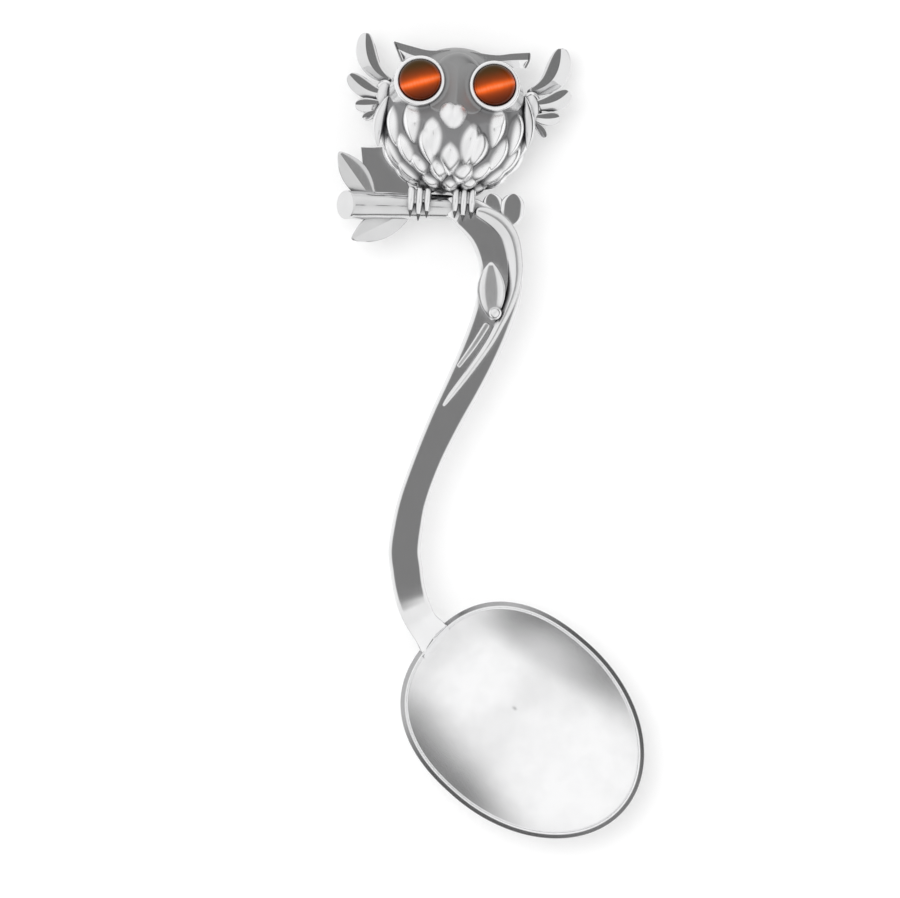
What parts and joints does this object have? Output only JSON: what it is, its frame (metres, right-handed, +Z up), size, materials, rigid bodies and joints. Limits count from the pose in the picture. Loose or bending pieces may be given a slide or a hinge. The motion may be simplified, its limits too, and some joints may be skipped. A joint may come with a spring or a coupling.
{
  "type": "figural feeding spoon",
  "caption": "Small polished silver spoon with an oval bowl set at an angle, an S-curved vine stem and a cast owl finial on a branch, its eyes set with orange cat's-eye stones",
  "frame": {"origin": "middle of the flat foot under the bowl, on the surface the spoon lies on", "axes": "+Z up out of the bowl, +Y from the bowl to the owl along the spoon's length, +X to the right seen from above"},
  "size_m": [0.0449, 0.1177, 0.0191],
  "materials": {
    "silver": "polished sterling silver",
    "cat_eye_stone": "polished dome"
  },
  "bodies": {
    "root": {"bowl": "silver", "stem": "silver", "vine": "silver", "stem_leaf": "silver", "bud": "silver", "leaf_stalk": "silver", "twig_stub": "silver", "perch_branch": "silver", "upper_leaf": "silver", "lower_leaf": "silver", "rear_leaf": "silver", "owl_body": "silver", "owl_crown": "silver", "beak": "silver", "left_wing": "silver", "right_wing": "silver", "left_foot": "silver", "right_foot": "silver", "left_bezel": "silver", "right_bezel": "silver", "left_cabochon": "cat_eye_stone", "right_cabochon": "cat_eye_stone"}
  },
  "joints": []
}
